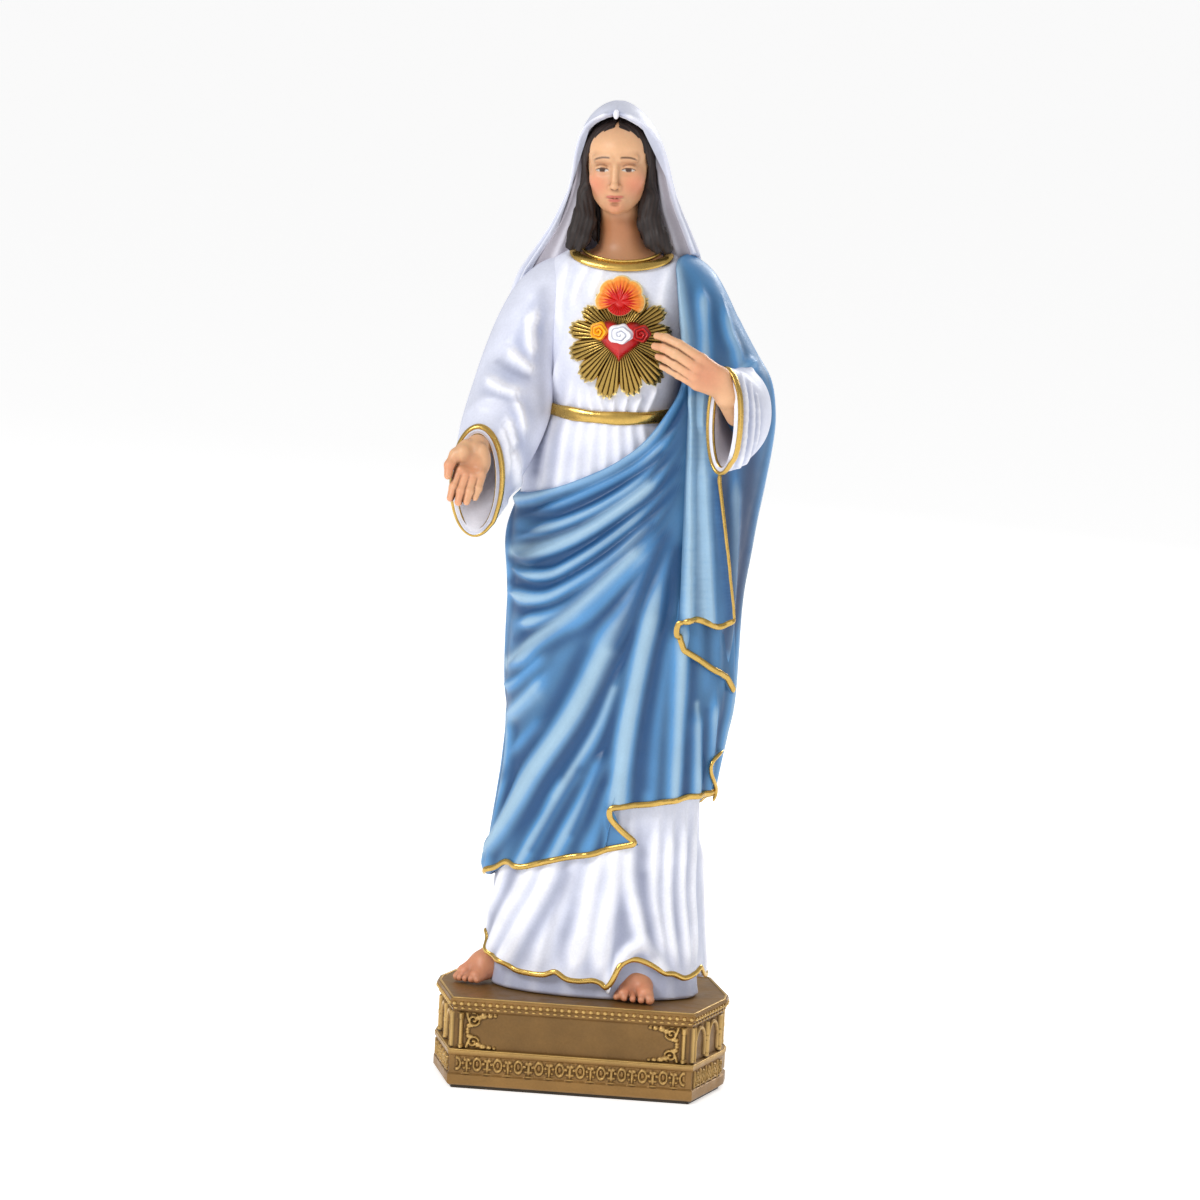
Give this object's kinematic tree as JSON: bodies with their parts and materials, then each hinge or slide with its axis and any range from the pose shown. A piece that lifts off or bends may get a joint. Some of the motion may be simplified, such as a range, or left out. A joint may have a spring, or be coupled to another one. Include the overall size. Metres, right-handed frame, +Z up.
{
  "type": "madonna statue",
  "caption": "Painted resin devotional statue of a robed, veiled figure showing a sunburst heart medallion, standing on a moulded bronze-coloured pedestal",
  "frame": {"origin": "the middle of the felt pad's underside, at the resting face", "axes": "+Z up along the figure, the figure faces -Y, and its left hand is towards +X"},
  "size_m": [0.0963, 0.0716, 0.2994],
  "materials": {
    "felt": "short matted felt",
    "bronze_paint": "resin painted antique bronze, rubbed brighter on its edges",
    "steel": "plain bright steel",
    "white_paint": "resin painted white with a lavender-grey wash in the folds, satin",
    "veil_paint": "resin painted white, satin",
    "blue_paint": "resin airbrushed sky blue, pale on the crests and deep in the folds, satin",
    "skin_paint": "resin painted a warm skin tone, satin",
    "hair_paint": "resin painted dark brown, slightly glossy",
    "gold_paint": "bright gold paint",
    "red_paint": "glossy deep red paint",
    "flame_paint": "glossy orange paint shading to red",
    "rose_white_paint": "glossy white paint",
    "rose_yellow_paint": "glossy yellow-orange paint"
  },
  "bodies": {
    "root": {"felt_pad": "felt", "pedestal": "bronze_paint", "fixing_dowel": "steel", "gown": "white_paint", "mantle": "blue_paint", "mantle_fall": "blue_paint", "veil": "veil_paint", "hair": "hair_paint", "head": "skin_paint", "right_sleeve": "white_paint", "left_sleeve": "white_paint", "right_hand": "skin_paint", "left_hand": "skin_paint", "right_foot": "skin_paint", "left_foot": "skin_paint", "sunburst": "gold_paint", "heart": "red_paint", "flame": "flame_paint", "rose_white": "rose_white_paint", "rose_yellow": "rose_yellow_paint", "rose_red": "red_paint", "belt": "gold_paint", "collar": "gold_paint", "right_cuff_trim": "gold_paint", "left_cuff_trim": "gold_paint", "mantle_hem_trim": "gold_paint", "mantle_fall_trim": "gold_paint", "gown_hem_trim": "gold_paint"}
  },
  "joints": []
}
